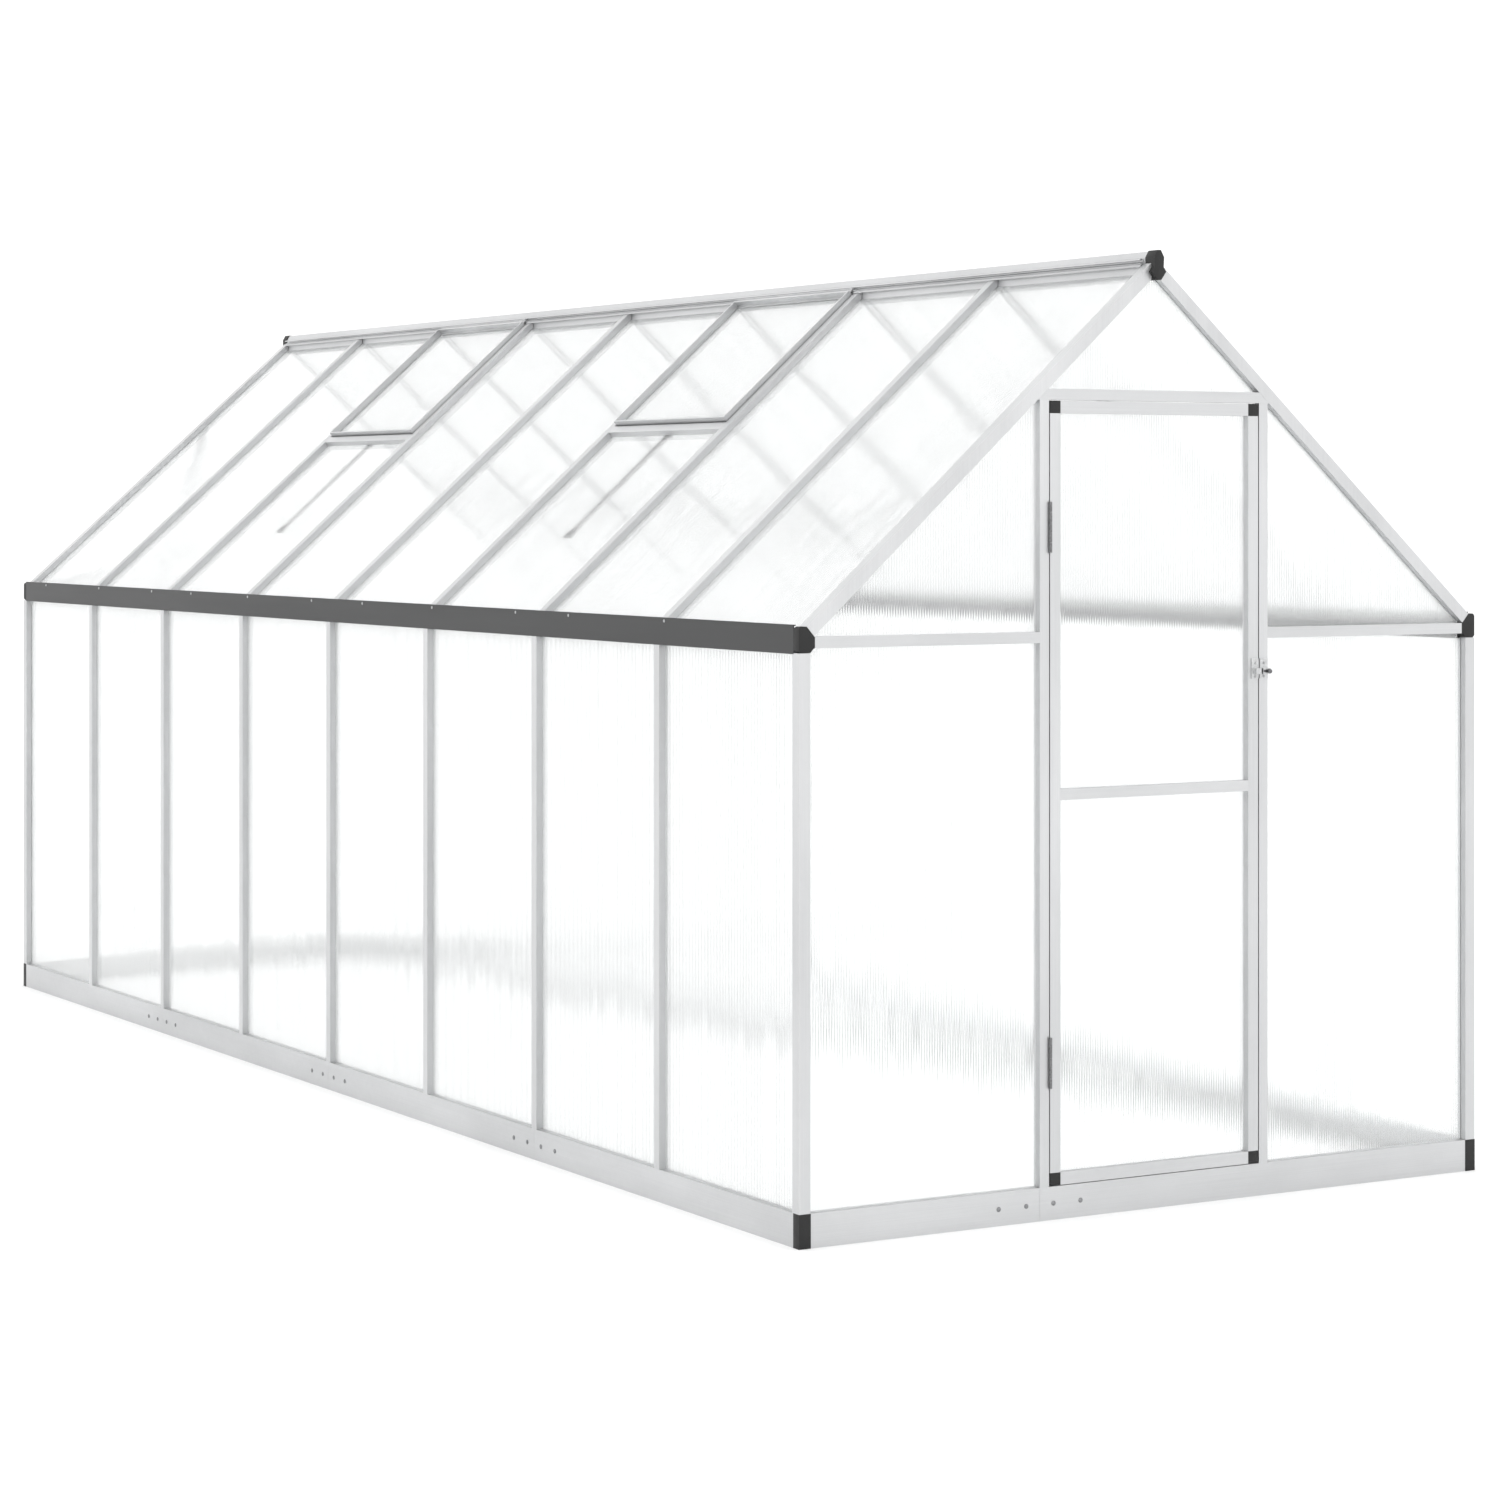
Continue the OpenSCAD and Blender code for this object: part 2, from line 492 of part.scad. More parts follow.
module latch_housing() color(silver) {
  x0 = door_post_x - bw2 + 2;
  difference() {
    union() {
      translate([x0 - 1, yf - 2.1, latch_z - 15]) cube([20, 2, 41]);
      translate([x0, yf - 12, latch_z - 6]) cube([19, 10, 12]);
    }
    translate([x0 - 5, lat_y, latch_z]) rotate([0, 90, 0]) cylinder(r = 3.3, h = 40);
    translate([x0 + 1, yf - 20, latch_z - 2.2]) cube([15, 13, 4.4]);
    for (z = [latch_z - 10.5, latch_z + 17]) translate([x0 + 9, yf - 5, z]) rotate([-90, 0, 0]) cylinder(r = 1.6, h = 8);
  }
}
module latch_keeper() color(silver) {
  x1 = leaf_x;
  difference() {
    union() {
      translate([x1 - 18, yf - 2.1, latch_z - 15]) cube([18, 2, 41]);
      translate([x1 - 13, yf - 12, latch_z - 6]) cube([13, 10, 12]);
    }
    translate([x1 - 11, lat_y, latch_z]) rotate([0, 90, 0]) cylinder(r = 3.3, h = 40);
    for (z = [latch_z - 10.5, latch_z + 17]) translate([x1 - 9, yf - 5, z]) rotate([-90, 0, 0]) cylinder(r = 1.6, h = 8);
  }
}
module latch_bolt() color(graphite) {
  x0 = door_post_x - bw2 + 1;
  translate([x0, lat_y, latch_z]) rotate([0, 90, 0]) cylinder(r = 3, h = 20);
  translate([x0 + 15, lat_y, latch_z]) rotate([90, 0, 0]) cylinder(r = 1.8, h = 8);
  translate([x0 + 15, yf - knob_proud + 5, latch_z]) rotate([90, 0, 0]) cylinder(r = 4.6, h = 5);
}
module latch_screw(x, z) translate([x, yf, z]) rotate([90, 0, 0]) {
  translate([0, 0, 2.15]) cylinder(r = 2.8, h = 1.5);
  translate([0, 0, 0.05]) cylinder(r = 1.5, h = 2.2);
}
module latch_screws_post() color(steel) for (z = [latch_z - 10.5, latch_z + 17]) latch_screw(door_post_x - bw2 + 11, z);
module latch_screws_door() color(steel) for (z = [latch_z - 10.5, latch_z + 17]) latch_screw(leaf_x - 9, z);

base_rails_left();
base_rails_right();
base_rails_front();
base_rails_back();
base_splice_plates();
base_bolts();
base_nuts();
base_corner_caps();
corner_posts();
studs_left();
studs_right();
door_posts();
studs_back();
gutter_left();
gutter_right();
gutter_end_caps();
gutter_screws();
eave_rails_front();
eave_rails_back();
door_header();
gable_rafters_front();
gable_rafters_back();
rafters_left();
rafters_right();
ridge_bar();
ridge_end_caps();
vent_sills();
stay_brackets();
stay_pins();
wall_sheets_left();
wall_sheets_right();
roof_sheets_left();
roof_sheets_right();
gable_sheets_front();
gable_sheets_back();
door_stiles();
door_rails();
door_corner_caps();
door_sheets();
hinge_leaves_post();
hinge_leaves_door();
hinge_pins();
latch_housing();
latch_keeper();
latch_bolt();
latch_screws_post();
latch_screws_door();
vent_near_frame();
vent_near_sheet();
vent_far_frame();
vent_far_sheet();
stay_near();
stay_near_grip();
stay_far();
stay_far_grip();
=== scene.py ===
import json, math, random
import bpy
import bmesh
import numpy as np
from mathutils import Matrix, Vector


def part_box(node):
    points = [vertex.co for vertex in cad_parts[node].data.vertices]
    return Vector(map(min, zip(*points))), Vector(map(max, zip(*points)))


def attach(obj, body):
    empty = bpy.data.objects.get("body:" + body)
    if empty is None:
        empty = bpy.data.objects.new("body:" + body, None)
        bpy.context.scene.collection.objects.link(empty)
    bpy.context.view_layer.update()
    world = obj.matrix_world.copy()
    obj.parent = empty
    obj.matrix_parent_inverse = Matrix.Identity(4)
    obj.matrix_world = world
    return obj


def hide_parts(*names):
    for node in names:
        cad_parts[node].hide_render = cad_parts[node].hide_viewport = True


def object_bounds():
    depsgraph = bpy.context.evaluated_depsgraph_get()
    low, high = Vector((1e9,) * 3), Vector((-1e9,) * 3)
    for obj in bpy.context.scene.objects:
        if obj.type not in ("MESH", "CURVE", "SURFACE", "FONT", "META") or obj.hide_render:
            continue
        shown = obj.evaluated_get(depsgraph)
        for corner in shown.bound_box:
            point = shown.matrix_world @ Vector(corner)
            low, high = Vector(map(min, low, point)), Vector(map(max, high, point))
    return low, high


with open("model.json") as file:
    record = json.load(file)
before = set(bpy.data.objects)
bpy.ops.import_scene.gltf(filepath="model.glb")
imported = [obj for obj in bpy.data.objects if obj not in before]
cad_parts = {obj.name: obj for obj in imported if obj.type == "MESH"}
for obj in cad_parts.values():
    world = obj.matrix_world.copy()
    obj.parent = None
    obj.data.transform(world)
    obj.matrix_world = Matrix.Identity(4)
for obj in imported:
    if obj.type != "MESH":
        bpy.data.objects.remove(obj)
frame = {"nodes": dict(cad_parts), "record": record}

CAD_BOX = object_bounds()
lo, hi = CAD_BOX
scene = bpy.context.scene
MM = 0.001

# ------------------------------------------------------------------ camera
cam_data = bpy.data.cameras.new("camera")
cam_data.sensor_width = 36.0
cam_data.lens = 88.7
cam_data.shift_y = -0.1654
cam_data.clip_end = 400.0
camera = bpy.data.objects.new("camera", cam_data)
scene.collection.objects.link(camera)
camera.location = (-4.4263, -8.2102, 1.4161)
camera.rotation_euler = (math.radians(90.0), 0.0, math.radians(-30.133))
scene.camera = camera
scene.view_settings.view_transform = "Standard"

# ------------------------------------------------------------- node helpers
PITCH = math.radians(41.6)


class Mat:
    """One procedural material: a small wrapper to add and link nodes."""

    def __init__(self, name):
        self.m = bpy.data.materials.new(name)
        self.m.use_nodes = True
        self.t = self.m.node_tree
        self.p = next(n for n in self.t.nodes if n.type == "BSDF_PRINCIPLED")
        self.out = next(n for n in self.t.nodes if n.type == "OUTPUT_MATERIAL")
        self.co = self.t.nodes.new("ShaderNodeTexCoord").outputs["Object"]

    def node(self, kind, **props):
        n = self.t.nodes.new(kind)
        for k, v in props.items():
            setattr(n, k, v)
        return n

    def link(self, a, b):
        self.t.links.new(a, b)
        return a

    def mapped(self, scale=(1, 1, 1), rot=(0, 0, 0)):
        turn = self.node("ShaderNodeMapping")
        turn.inputs["Rotation"].default_value = rot
        self.link(self.co, turn.inputs["Vector"])
        size = self.node("ShaderNodeMapping")
        size.inputs["Scale"].default_value = scale
        self.link(turn.outputs[0], size.inputs["Vector"])
        return size.outputs[0]

    def noise(self, vector, scale, detail=3.0, rough=0.5):
        n = self.node("ShaderNodeTexNoise")
        self.link(vector, n.inputs["Vector"])
        n.inputs["Scale"].default_value = scale
        n.inputs["Detail"].default_value = detail
        n.inputs["Roughness"].default_value = rough
        return n.outputs["Fac"]

    def ramp(self, fac, stops):
        r = self.node("ShaderNodeValToRGB")
        els = r.color_ramp.elements
        while len(els) < len(stops):
            els.new(0.5)
        for e, (pos, col) in zip(els, stops):
            e.position = pos
            e.color = (*col, 1.0) if len(col) == 3 else col
        self.link(fac, r.inputs["Fac"])
        return r.outputs["Color"]

    def remap(self, fac, a, b, to_lo, to_hi):
        n = self.node("ShaderNodeMapRange")
        n.inputs["From Min"].default_value = a
        n.inputs["From Max"].default_value = b
        n.inputs["To Min"].default_value = to_lo
        n.inputs["To Max"].default_value = to_hi
        self.link(fac, n.inputs["Value"])
        return n.outputs["Result"]

    def mix(self, fac, a, b, mode="MIX"):
        n = self.node("ShaderNodeMix", data_type="RGBA", blend_type=mode)
        if isinstance(fac, (int, float)):
            n.inputs["Factor"].default_value = fac
        else:
            self.link(fac, n.inputs["Factor"])
        sockets = [s for s in n.inputs if s.type == "RGBA"]
        for socket, v in zip(sockets, (a, b)):
            if isinstance(v, tuple):
                socket.default_value = (*v, 1.0)
            else:
                self.link(v, socket)
        return next(s for s in n.outputs if s.type == "RGBA")

    def bump(self, height, strength, distance, under=None):
        n = self.node("ShaderNodeBump")
        n.inputs["Strength"].default_value = strength
        n.inputs["Distance"].default_value = distance
        self.link(height, n.inputs["Height"])
        if under is not None:
            self.link(under, n.inputs["Normal"])
        self.link(n.outputs["Normal"], self.p.inputs["Normal"])
        return n.outputs["Normal"]


GRAIN = {  # turns object space so that the bar's length lies along Z
    "z": (0.0, 0.0, 0.0),
    "y": (math.radians(90), 0.0, 0.0),
    "x": (0.0, math.radians(90), 0.0),
    "left": (0.0, PITCH - math.radians(90), 0.0),
    "right": (0.0, math.radians(90) - PITCH, 0.0),
}


def aluminium(grain, tone=1.0, name=None):
    """Mill-finish extrusion: die lines along the bar, cloudy anodic tone, soft scuffs."""
    m = Mat(name or f"aluminium_{grain}")
    die = m.noise(m.mapped((900, 900, 3.0), GRAIN[grain]), 1.0, 2.0, 0.6)
    cloud = m.noise(m.mapped((5, 5, 1.4), GRAIN[grain]), 1.0, 4.0, 0.55)
    scuff = m.noise(m.mapped((60, 60, 60), GRAIN[grain]), 1.0, 6.0, 0.7)
    a = tuple(v * tone for v in (0.545, 0.55, 0.555))
    b = tuple(min(1, v * tone) for v in (0.64, 0.645, 0.65))
    base = m.ramp(cloud, [(0.3, a), (0.7, b)])
    lines = m.ramp(die, [(0.35, (0.93, 0.93, 0.935)), (0.65, (1.0, 1.0, 1.0))])
    m.link(m.mix(1.0, base, lines, "MULTIPLY"), m.p.inputs["Base Color"])
    rough = m.node("ShaderNodeMath", operation="ADD")
    m.link(m.remap(scuff, 0.3, 0.7, 0.0, 0.10), rough.inputs[0])
    m.link(m.remap(die, 0.3, 0.7, 0.34, 0.44), rough.inputs[1])
    m.link(rough.outputs[0], m.p.inputs["Roughness"])
    m.p.inputs["Metallic"].default_value = 0.85
    m.bump(die, 0.25, 0.00015)
    return m.m


def plastic(name, tone, speck=1.0):
    """Moulded black nylon: spark-eroded grain, slightly worn high spots."""
    m = Mat(name)
    grain = m.noise(m.co, 900.0, 2.0, 0.6)
    wear = m.noise(m.co, 38.0, 5.0, 0.6)
    col = m.ramp(wear, [(0.3, tuple(tone * v for v in (0.85, 0.85, 0.88))),
                        (0.72, tuple(tone * v for v in (1.5, 1.5, 1.55)))])
    m.link(col, m.p.inputs["Base Color"])
    m.link(m.remap(wear, 0.3, 0.7, 0.48, 0.62), m.p.inputs["Roughness"])
    m.bump(grain, 0.35 * speck, 0.0003)
    return m.m


def paint(name):
    """Graphite powder coat: orange peel, faint dust in random clouds."""
    m = Mat(name)
    peel = m.noise(m.co, 420.0, 3.0, 0.55)
    cloud = m.noise(m.mapped((3.0, 0.7, 9.0)), 1.0, 4.0, 0.6)
    col = m.ramp(cloud, [(0.3, (0.018, 0.0185, 0.0195)), (0.7, (0.026, 0.0265, 0.0275))])
    m.link(col, m.p.inputs["Base Color"])
    m.link(m.remap(cloud, 0.3, 0.7, 0.40, 0.52), m.p.inputs["Roughness"])
    m.bump(peel, 0.22, 0.0004)
    return m.m


def steel(name, low, high, rough):
    """Zinc-plated steel: spangled tone and fine turning marks."""
    m = Mat(name)
    cells = m.node("ShaderNodeTexVoronoi")
    cells.inputs["Scale"].default_value = 260.0
    m.link(m.co, cells.inputs["Vector"])
    spangle = m.ramp(cells.outputs["Distance"], [(0.0, low), (0.8, high)])
    m.link(spangle, m.p.inputs["Base Color"])
    fine = m.noise(m.co, 700.0, 3.0, 0.6)
    m.link(m.remap(fine, 0.3, 0.7, rough - 0.05, rough + 0.1), m.p.inputs["Roughness"])
    m.p.inputs["Metallic"].default_value = 0.9
    m.bump(fine, 0.2, 0.0002)
    return m.m


def twin_wall(name):
    """Clear twin-wall sheet: the ribs are in the mesh; faint extrusion haze here."""
    m = Mat(name)
    haze = m.noise(m.mapped((14, 14, 14)), 1.0, 3.0, 0.5)
    col = m.ramp(haze, [(0.3, (0.984, 0.99, 0.992)), (0.7, (0.996, 0.998, 0.999))])
    m.link(col, m.p.inputs["Base Color"])
    m.link(m.remap(haze, 0.3, 0.7, 0.02, 0.05), m.p.inputs["Roughness"])
    m.p.inputs["IOR"].default_value = 1.5
    m.p.inputs["Transmission Weight"].default_value = 1.0
    # light reaches the inside straight through the sheet; eyes and mirrors see the real glass
    path = m.node("ShaderNodeLightPath")
    either = m.node("ShaderNodeMath", operation="MAXIMUM")
    m.link(path.outputs["Is Shadow Ray"], either.inputs[0])
    m.link(path.outputs["Is Diffuse Ray"], either.inputs[1])
    clear = m.node("ShaderNodeBsdfTransparent")
    clear.inputs["Color"].default_value = (0.985, 0.99, 0.99, 1.0)
    mix = m.node("ShaderNodeMixShader")
    milk = m.node("ShaderNodeBsdfTranslucent")  # the sheet's own faint milkiness
    milk.inputs["Color"].default_value = (0.98, 0.985, 0.985, 1.0)
    glass = m.node("ShaderNodeMixShader")
    glass.inputs[0].default_value = 0.2
    m.link(m.p.outputs[0], glass.inputs[1])
    m.link(milk.outputs[0], glass.inputs[2])
    m.link(either.outputs[0], mix.inputs[0])
    m.link(glass.outputs[0], mix.inputs[1])
    m.link(clear.outputs[0], mix.inputs[2])
    m.link(mix.outputs[0], m.out.inputs["Surface"])
    return m.m


ALU = {g: aluminium(g) for g in GRAIN}
# the stay arm: the frame's aluminium darkened to a fifth, painted shade for its place inside under the vent sill
STAY_PAINTED_SHADE = aluminium("left", 0.2, "aluminium_stay_painted_shade")
BLACK = plastic("moulded_black", 0.003)
GRIP = plastic("moulded_grip", 0.006)
PAINT = paint("gutter_paint")
ZINC = steel("zinc_plate", (0.34, 0.345, 0.35), (0.52, 0.525, 0.53), 0.34)
BOLT = steel("bolt_zinc", (0.17, 0.172, 0.177), (0.29, 0.293, 0.3), 0.36)
DARK = steel("dark_plate", (0.12, 0.12, 0.125), (0.22, 0.22, 0.225), 0.38)
PLATE = steel("pressed_plate", (0.42, 0.425, 0.43), (0.60, 0.605, 0.61), 0.36)
SHEET = twin_wall("twin_wall_sheet")

NODE_MATERIAL = {
    "base_rails_left": ALU["y"], "base_rails_right": ALU["y"],
    "base_rails_front": ALU["x"], "base_rails_back": ALU["x"],
    "base_splice_plates": PLATE, "base_bolts": BOLT, "base_nuts": ZINC,
    "base_corner_caps": BLACK, "corner_posts": ALU["z"],
    "studs_left": ALU["z"], "studs_right": ALU["z"], "door_posts": ALU["z"],
    "studs_back": ALU["z"], "gutter_left": PAINT, "gutter_right": PAINT,
    "gutter_end_caps": BLACK, "gutter_screws": ZINC,
    "eave_rails_front": ALU["x"], "eave_rails_back": ALU["x"], "door_header": ALU["x"],
    "rafters_left": ALU["left"], "rafters_right": ALU["right"],
    "gable_rafters_front": ALU["z"], "gable_rafters_back": ALU["z"],
    "ridge_bar": ALU["y"], "ridge_end_caps": BLACK, "vent_sills": ALU["y"],
    "stay_brackets": BLACK, "stay_pins": ZINC,
    "wall_sheets_left": SHEET, "wall_sheets_right": SHEET,
    "roof_sheets_left": SHEET, "roof_sheets_right": SHEET,
    "gable_sheets_front": SHEET, "gable_sheets_back": SHEET,
    "door_stiles": ALU["z"], "door_rails": ALU["x"], "door_corner_caps": BLACK,
    "door_sheets": SHEET, "hinge_leaves_post": DARK, "hinge_leaves_door": DARK,
    "hinge_pins": ZINC, "latch_housing": PLATE, "latch_keeper": PLATE,
    "latch_bolt": DARK, "latch_screws_post": ZINC, "latch_screws_door": ZINC,
    "vent_near_frame": ALU["left"], "vent_near_sheet": SHEET,
    "vent_far_frame": ALU["left"], "vent_far_sheet": SHEET,
    "stay_near": STAY_PAINTED_SHADE, "stay_near_grip": GRIP,
    "stay_far": STAY_PAINTED_SHADE, "stay_far_grip": GRIP,
}
for name, ob in frame["nodes"].items():
    ob.data.materials.clear()
    ob.data.materials.append(NODE_MATERIAL[name])

BODY = {n: b for b, ns in frame["record"]["behaviour"]["bodies"].items() for n in ns}


# ------------------------------------------------------------- mesh helpers
def add(name, verts, faces, material, node, smooth=True, sharp_deg=35.0):
    """A finished piece from raw geometry, standing for that CAD node."""
    me = bpy.data.meshes.new(name)
    me.from_pydata([tuple(map(float, v)) for v in verts], [], faces)
    me.validate()
    bm = bmesh.new()
    bm.from_mesh(me)
    bmesh.ops.remove_doubles(bm, verts=bm.verts, dist=1e-7)
    bmesh.ops.recalc_face_normals(bm, faces=bm.faces)
    for e in bm.edges:
        if len(e.link_faces) == 2 and e.calc_face_angle(0.0) > math.radians(sharp_deg):
            e.smooth = False
    for f in bm.faces:
        f.smooth = smooth
    bm.to_mesh(me)
    bm.free()
    ob = bpy.data.objects.new(name, me)
    scene.collection.objects.link(ob)
    me.materials.append(material)
    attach(ob, BODY[node])
    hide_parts(node)
    return ob


def islands(node):
    """The separate solids of a CAD node: welded points and triangles of each."""
    me = frame["nodes"][node].data
    bm = bmesh.new()
    bm.from_mesh(me)
    bmesh.ops.remove_doubles(bm, verts=bm.verts, dist=2e-6)
    bm.verts.ensure_lookup_table()
    seen, out = set(), []
    for v in bm.verts:
        if v.index in seen:
            continue
        stack, part = [v], []
        seen.add(v.index)
        while stack:
            w = stack.pop()
            part.append(w)
            for e in w.link_edges:
                o = e.other_vert(w)
                if o.index not in seen:
                    seen.add(o.index)
                    stack.append(o)
        index = {w.index: k for k, w in enumerate(part)}
        faces = {f for w in part for f in w.link_faces}
        out.append((np.array([w.co[:] for w in part]),
                    [[index[w.index] for w in f.verts] for f in faces]))
    bm.free()
    return out


RIB = 6.0 * MM


def ribbed(points, tris, to_local, to_world, rng, crisp=1.0):
    """One sheet as a slab with its ribs: local x across them, y along them, z outward."""
    loc = to_local(points)
    top = loc[:, 2].max()
    thick = top - loc[:, 2].min()
    use = {}
    for t in tris:
        if all(loc[i, 2] > top - 2e-5 for i in t):
            for k in range(len(t)):
                e = tuple(sorted((t[k], t[(k + 1) % len(t)])))
                use[e] = use.get(e, 0) + 1
    edges = [(loc[a], loc[b]) for (a, b), n in use.items() if n == 1]
    xs = sorted({round(float(p[0]), 6) for e in edges for p in e})
    x0, x1 = xs[0], xs[-1]

    def span_at(x):
        ys = []
        for p, q in edges:
            a, b = sorted((p[0], q[0]))
            if b - a > 1e-6 and a - 3e-6 <= x <= b + 3e-6:
                ys.append(p[1] + (q[1] - p[1]) * (x - p[0]) / (q[0] - p[0]))
        return min(ys), max(ys)

    stations = set(np.round(np.arange(math.ceil(x0 / RIB * 4) * RIB / 4, x1, RIB / 4), 6))
    stations = {s for s in stations if x0 + 4e-4 < s < x1 - 4e-4}
    for x in xs[1:-1]:  # corners of the outline; a step takes two stations
        stations = {s for s in stations if abs(s - x) > 4e-4}
        stations |= {x - 3e-5, x + 3e-5}
    stations = sorted(stations | {x0 + 1e-7, x1 - 1e-7})
    ribs = int((x1 - x0) / RIB) + 3
    walk = np.array([rng.random() for _ in range(ribs + 8)])
    deep = np.convolve(walk, np.ones(5) / 5, "same")[4:-4] * 0.6 + walk[4:-4] * 0.4
    deep = crisp * (0.45 + 0.55 * np.clip((deep - 0.2) / 0.6, 0, 1)) * MM
    verts, n = [], len(stations)
    for x in stations:
        k = (x - x0) / RIB
        a = deep[int(k)] * (1 - k % 1) + deep[int(k) + 1] * (k % 1)
        dip = a * (1 - math.cos(2 * math.pi * x / RIB)) / 2
        if x in (stations[0], stations[-1]):
            dip = 0.0
        b, t = span_at(x)
        verts += [(x, b, top), (x, t, top), (x, b, top - thick + dip), (x, t, top - thick + dip)]
    faces = []
    for k in range(n - 1):
        i, j = 4 * k, 4 * k + 4
        faces += [(i, j, j + 1, i + 1), (i + 2, i + 3, j + 3, j + 2),
                  (i, i + 2, j + 2, j), (i + 1, j + 1, j + 3, i + 3)]
    e = 4 * (n - 1)
    faces += [(0, 1, 3, 2), (e, e + 2, e + 3, e + 1)]
    return to_world(np.array(verts)), faces


CA, SA = math.cos(PITCH), math.sin(PITCH)
AX = {
    # rows are the local axes (across the ribs, along them, outward) in world axes
    "left": np.array([[0, 1, 0], [0, 0, 1], [-1, 0, 0]], float),
    "right": np.array([[0, 1, 0], [0, 0, 1], [1, 0, 0]], float),
    "front": np.array([[1, 0, 0], [0, 0, 1], [0, -1, 0]], float),
    "back": np.array([[1, 0, 0], [0, 0, 1], [0, 1, 0]], float),
    "roof_left": np.array([[0, 1, 0], [CA, 0, SA], [-SA, 0, CA]], float),
    "roof_right": np.array([[0, 1, 0], [-CA, 0, SA], [SA, 0, CA]], float),
}


def sheets(node, way, seed, crisp=1.0):
    A = AX[way]
    rng = random.Random(seed)
    verts, faces = [], []
    for pts, tris in sorted(islands(node), key=lambda it: tuple(it[0].min(0).round(4))):
        v, f = ribbed(pts, tris, lambda p: p @ A.T, lambda p: p @ A, rng, crisp)
        base = len(verts)
        verts += list(v)
        faces += [tuple(base + i for i in q) for q in f]
    return add(f"{node}_ribbed", verts, faces, SHEET, node, sharp_deg=50.0)


for seed, (node, way) in enumerate([
        ("wall_sheets_left", "left"), ("wall_sheets_right", "right"),
        ("roof_sheets_left", "roof_left"), ("roof_sheets_right", "roof_right"),
        ("gable_sheets_front", "front"), ("gable_sheets_back", "back"),
        ("door_sheets", "front"), ("vent_near_sheet", "roof_left"),
        ("vent_far_sheet", "roof_left")]):
    sheets(node, way, 11 + seed, 0.5 if node == "roof_sheets_left" else 1.0)


def softened(node, width, segments=2, material=None):
    """The CAD node's own form with its moulded or rolled edges rounded."""
    bm = bmesh.new()
    bm.from_mesh(frame["nodes"][node].data)
    bmesh.ops.remove_doubles(bm, verts=bm.verts, dist=2e-6)
    bmesh.ops.dissolve_limit(bm, angle_limit=math.radians(1.0), verts=bm.verts, edges=bm.edges)
    me = bpy.data.meshes.new(node + "_soft")
    bm.to_mesh(me)
    bm.free()
    ob = bpy.data.objects.new(node + "_soft", me)
    scene.collection.objects.link(ob)
    bev = ob.modifiers.new("bevel", "BEVEL")
    bev.width = width
    bev.segments = segments
    bev.limit_method = "ANGLE"
    bev.angle_limit = math.radians(40)
    bev.harden_normals = False
    deps = bpy.context.evaluated_depsgraph_get()
    done = bpy.data.meshes.new_from_object(ob.evaluated_get(deps))
    ob.modifiers.clear()
    ob.data = done
    bm = bmesh.new()
    bm.from_mesh(done)
    for f in bm.faces:
        f.smooth = True
    for e in bm.edges:
        if len(e.link_faces) == 2 and e.calc_face_angle(0.0) > math.radians(50):
            e.smooth = False
    bm.to_mesh(done)
    bm.free()
    done.materials.clear()
    done.materials.append(material or NODE_MATERIAL[node])
    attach(ob, BODY[node])
    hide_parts(node)
    return ob


softened("base_corner_caps", 1.6 * MM, 3)
softened("ridge_end_caps", 2.0 * MM, 3)
softened("gutter_end_caps", 1.8 * MM, 3)
softened("door_corner_caps", 1.2 * MM, 3)
softened("latch_housing", 0.6 * MM, 2)
softened("latch_keeper", 0.6 * MM, 2)
softened("stay_brackets", 0.4 * MM, 2)


# --------------------------------------------------------------- turned parts
def frame_for(axis):
    z = Vector(axis).normalized()
    x = z.orthogonal().normalized()
    return Matrix((x, z.cross(x), z)).transposed()


def turned(rings, origin, axis, seg=24, lobes=None):
    """A lathe form. rings are (radius, height); lobes names rings that are a cross recess."""
    R, o = frame_for(axis), Vector(origin)
    verts, faces = [], []
    for k, (r, h) in enumerate(rings):
        for s in range(seg):
            a = 2 * math.pi * s / seg
            rr = r
            if lobes and k in lobes:
                rr = r * (0.34 + 0.66 * abs(math.cos(2 * a)) ** 6)
            verts.append(o + R @ Vector((rr * math.cos(a), rr * math.sin(a), h)))
    for k in range(len(rings) - 1):
        for s in range(seg):
            i, j = k * seg + s, k * seg + (s + 1) % seg
            faces.append((i, j, j + seg, i + seg))
    faces.append(tuple(range(seg - 1, -1, -1)))
    last = (len(rings) - 1) * seg
    faces.append(tuple(last + s for s in range(seg)))
    return verts, faces


def gather(parts):
    verts, faces = [], []
    for v, f in parts:
        base = len(verts)
        verts += list(v)
        faces += [tuple(base + i for i in q) for q in f]
    return verts, faces


def fasteners(node, axis_of, rings_of, lobes, name, seg=24):
    parts = []
    for pts, _ in sorted(islands(node), key=lambda it: tuple(it[0].min(0).round(4))):
        a, b = pts.min(0), pts.max(0)
        c = (a + b) / 2
        axis = axis_of(c)
        ends = sorted((float(a @ np.array(axis)), float(b @ np.array(axis))))
        ends = [float(min(p @ np.array(axis) for p in pts)), float(max(p @ np.array(axis) for p in pts))]
        length = ends[1] - ends[0]
        foot = Vector(c) - Vector(axis) * (length / 2)
        parts.append(turned(rings_of(length), foot, axis, seg, lobes))
    return add(name, *gather(parts), NODE_MATERIAL[node], node, sharp_deg=38.0)


def outward(c):
    """Out of the nearest wall."""
    gap = [(abs(c[0] - lo.x), (-1, 0, 0)), (abs(hi.x - c[0]), (1, 0, 0)),
           (abs(c[1] - lo.y), (0, -1, 0)), (abs(hi.y - c[1]), (0, 1, 0))]
    return min(gap)[1]


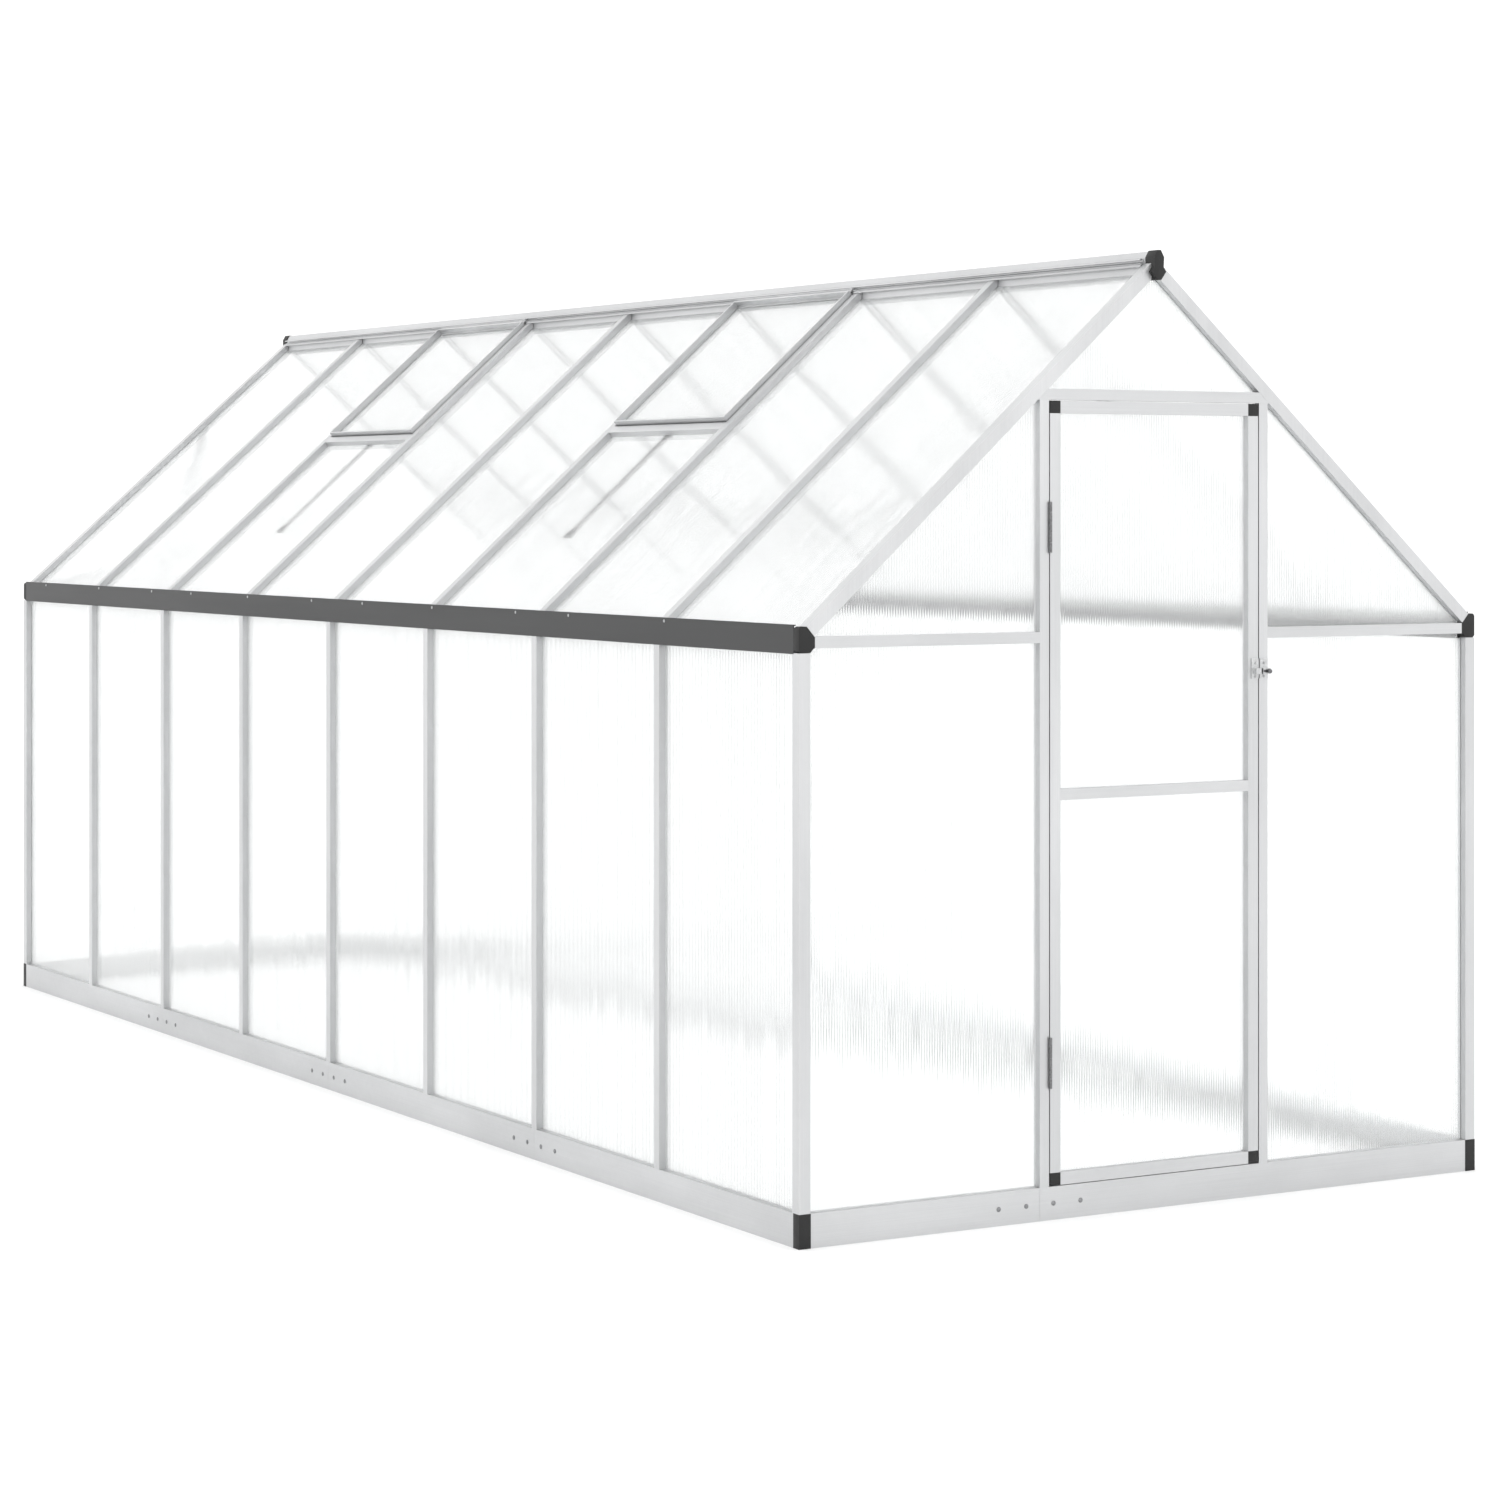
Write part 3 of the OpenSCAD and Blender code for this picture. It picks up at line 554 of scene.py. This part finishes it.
# splice bolts: a low domed head on a collar, a threaded shank to the nut
def bolt_rings(L):
    out = [(2.4 * MM, 0.0), (2.95 * MM, 0.6 * MM)]
    h = 0.9 * MM
    while h < L - 6.2 * MM:  # rolled thread
        out += [(2.65 * MM, h), (2.95 * MM, h + 0.5 * MM)]
        h += 1.0 * MM
    out += [(2.95 * MM, L - 4.6 * MM), (2.95 * MM, L - 2.15 * MM), (4.9 * MM, L - 2.15 * MM),
            (5.0 * MM, L - 1.95 * MM), (4.95 * MM, L - 1.5 * MM), (4.3 * MM, L - 0.85 * MM),
            (3.2 * MM, L - 0.4 * MM), (1.8 * MM, L - 0.1 * MM), (0.6 * MM, L)]
    return out


fasteners("base_bolts", outward, bolt_rings, None, "splice_bolts")


def pan_rings(R, shank):
    def rings(L):
        return [(shank * 0.7, 0.0), (shank, 0.5 * MM), (shank, L - 1.45 * MM), (R, L - 1.45 * MM),
                (R, L - 1.1 * MM), (R * 0.93, L - 0.6 * MM), (R * 0.78, L - 0.2 * MM),
                (R * 0.64, L), (R * 0.6, L - 0.05 * MM), (R * 0.42, L - 0.75 * MM)]
    return rings


def side(c):
    return (-1, 0, 0) if c[0] < 0 else (1, 0, 0)


fasteners("gutter_screws", side, pan_rings(3.2 * MM, 1.8 * MM), (8, 9), "gutter_pan_screws", 32)
fasteners("latch_screws_post", lambda c: (0, -1, 0), pan_rings(2.8 * MM, 1.5 * MM), (8, 9), "latch_screws_fixed", 32)
fasteners("latch_screws_door", lambda c: (0, -1, 0), pan_rings(2.8 * MM, 1.5 * MM), (8, 9), "latch_screws_moving", 32)

# hinge pins: peened foot, domed head
fasteners("hinge_pins", lambda c: (0, 0, 1),
          lambda L: [(1.1 * MM, 0.0), (1.5 * MM, 0.5 * MM), (1.5 * MM, L - 1.8 * MM), (2.4 * MM, L - 1.8 * MM),
                     (2.6 * MM, L - 1.5 * MM), (2.45 * MM, L - 0.7 * MM), (1.7 * MM, L - 0.15 * MM), (0.5 * MM, L)],
          None, "hinge_pins_domed")

# latch bolt: rounded nose, necked stem and a turned knob
a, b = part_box("latch_bolt")
r = 3.0 * MM
cz = (a.z + b.z) / 2
cy = b.y - r
stem_x = (a.x + 16 * MM - 1 * MM)
bolt = turned([(1.8 * MM, 0.0), (2.7 * MM, 0.5 * MM), (r, 1.4 * MM), (r, b.x - a.x - 0.8 * MM),
               (2.4 * MM, b.x - a.x)], (a.x, cy, cz), (1, 0, 0), 32)
reach = cy - a.y
knob = turned([(1.8 * MM, 0.5 * MM), (1.8 * MM, reach - 5.4 * MM), (2.9 * MM, reach - 5.0 * MM), (4.1 * MM, reach - 4.9 * MM),
               (4.6 * MM, reach - 4.2 * MM), (4.6 * MM, reach - 3.4 * MM), (4.2 * MM, reach - 3.1 * MM),
               (4.2 * MM, reach - 2.7 * MM), (4.6 * MM, reach - 2.4 * MM), (4.5 * MM, reach - 1.1 * MM),
               (3.7 * MM, reach - 0.35 * MM), (2.2 * MM, reach - 0.05 * MM), (0.8 * MM, reach)],
              (stem_x, cy, cz), (0, -1, 0), 40)
add("latch_bolt_turned", *gather([bolt, knob]), DARK, "latch_bolt", sharp_deg=40.0)


# hinge leaves: rolled knuckles with chamfered ends on a pressed leaf
softened("hinge_leaves_post", 0.25 * MM, 1)
softened("hinge_leaves_door", 0.25 * MM, 1)


# stay grips: a flared paddle with finger ribs
def grip(node):
    (pts, _), = islands(node)
    A = AX["roof_left"]
    loc = pts @ A.T
    u0, u1 = loc[:, 0].min(), loc[:, 0].max()
    top, foot = loc[:, 1].max(), loc[:, 1].min()
    n0, n1 = loc[:, 2].min(), loc[:, 2].max()
    mid, half = (u0 + u1) / 2, (u1 - u0) / 2
    nc, nt = (n0 + n1) / 2, (n1 - n0) / 2
    L = top - foot
    stations, seg = 56, 28
    verts, faces = [], []
    for k in range(stations):
        t = k / (stations - 1)
        w = (7.0 + 14.0 * min(1.0, max(0.0, (t - 0.10) / 0.76)) ** 1.2) * MM
        th = nt * (0.92 - 0.22 * t)
        if 0.38 < t < 0.9:
            th += 0.55 * MM * max(0.0, math.sin((t - 0.38) / 0.52 * 5 * 2 * math.pi)) ** 0.7
        end = min(t, 1 - t) * L
        if end < 2.2 * MM:
            s = math.sqrt(max(0.0, 1 - (1 - end / (2.2 * MM)) ** 2))
            w -= 2.2 * MM * (1 - s)
            th -= 1.6 * MM * (1 - s)
        for s in range(seg):
            a = 2 * math.pi * s / seg
            c, d = math.cos(a), math.sin(a)
            x = min(w, half) * math.copysign(abs(c) ** 0.45, c)
            z = min(th, nt) * math.copysign(abs(d) ** 0.45, d)
            verts.append((mid + x, top - t * L, nc + z))
    for k in range(stations - 1):
        for s in range(seg):
            i, j = k * seg + s, k * seg + (s + 1) % seg
            faces.append((i, j, j + seg, i + seg))
    faces.append(tuple(range(seg - 1, -1, -1)))
    last = (stations - 1) * seg
    faces.append(tuple(last + s for s in range(seg)))
    add(node + "_paddle", np.array(verts) @ A, faces, GRIP, node, sharp_deg=60.0)


grip("stay_near_grip")
grip("stay_far_grip")

# ------------------------------------------------------------ floor and light
me = bpy.data.meshes.new("floor")
S = 60.0
me.from_pydata([(-S, -S, 0), (S, -S, 0), (S, S, 0), (-S, S, 0)], [], [(0, 1, 2, 3)])
floor = bpy.data.objects.new("floor", me)
scene.collection.objects.link(floor)
fm = Mat("floor_pale")
speck = fm.noise(fm.co, 6.0, 4.0, 0.5)
fm.link(fm.ramp(speck, [(0.3, (0.93, 0.93, 0.93)), (0.7, (0.945, 0.945, 0.945))]), fm.p.inputs["Base Color"])
fm.p.inputs["Roughness"].default_value = 0.95
fm.p.inputs["Specular IOR Level"].default_value = 0.1
me.materials.append(fm.m)

# A soft white studio all round, brighter from the upper front left.
world = bpy.data.worlds.new("studio")
scene.world = world
world.use_nodes = True
world.cycles.sampling_method = "NONE"
wt = world.node_tree
bg = next(n for n in wt.nodes if n.type == "BACKGROUND")
bg.inputs["Color"].default_value = (1.0, 1.0, 1.0, 1.0)
coord = wt.nodes.new("ShaderNodeTexCoord")
facing = wt.nodes.new("ShaderNodeVectorMath")
facing.operation = "DOT_PRODUCT"
facing.inputs[1].default_value = Vector((-0.45, -0.62, 0.64)).normalized()
wt.links.new(coord.outputs["Generated"], facing.inputs[0])
glow = wt.nodes.new("ShaderNodeMapRange")
glow.inputs["From Min"].default_value = -1.0
glow.inputs["From Max"].default_value = 1.0
glow.inputs["To Min"].default_value = 1.15
glow.inputs["To Max"].default_value = 1.45
wt.links.new(facing.outputs["Value"], glow.inputs["Value"])
wt.links.new(glow.outputs["Result"], bg.inputs["Strength"])
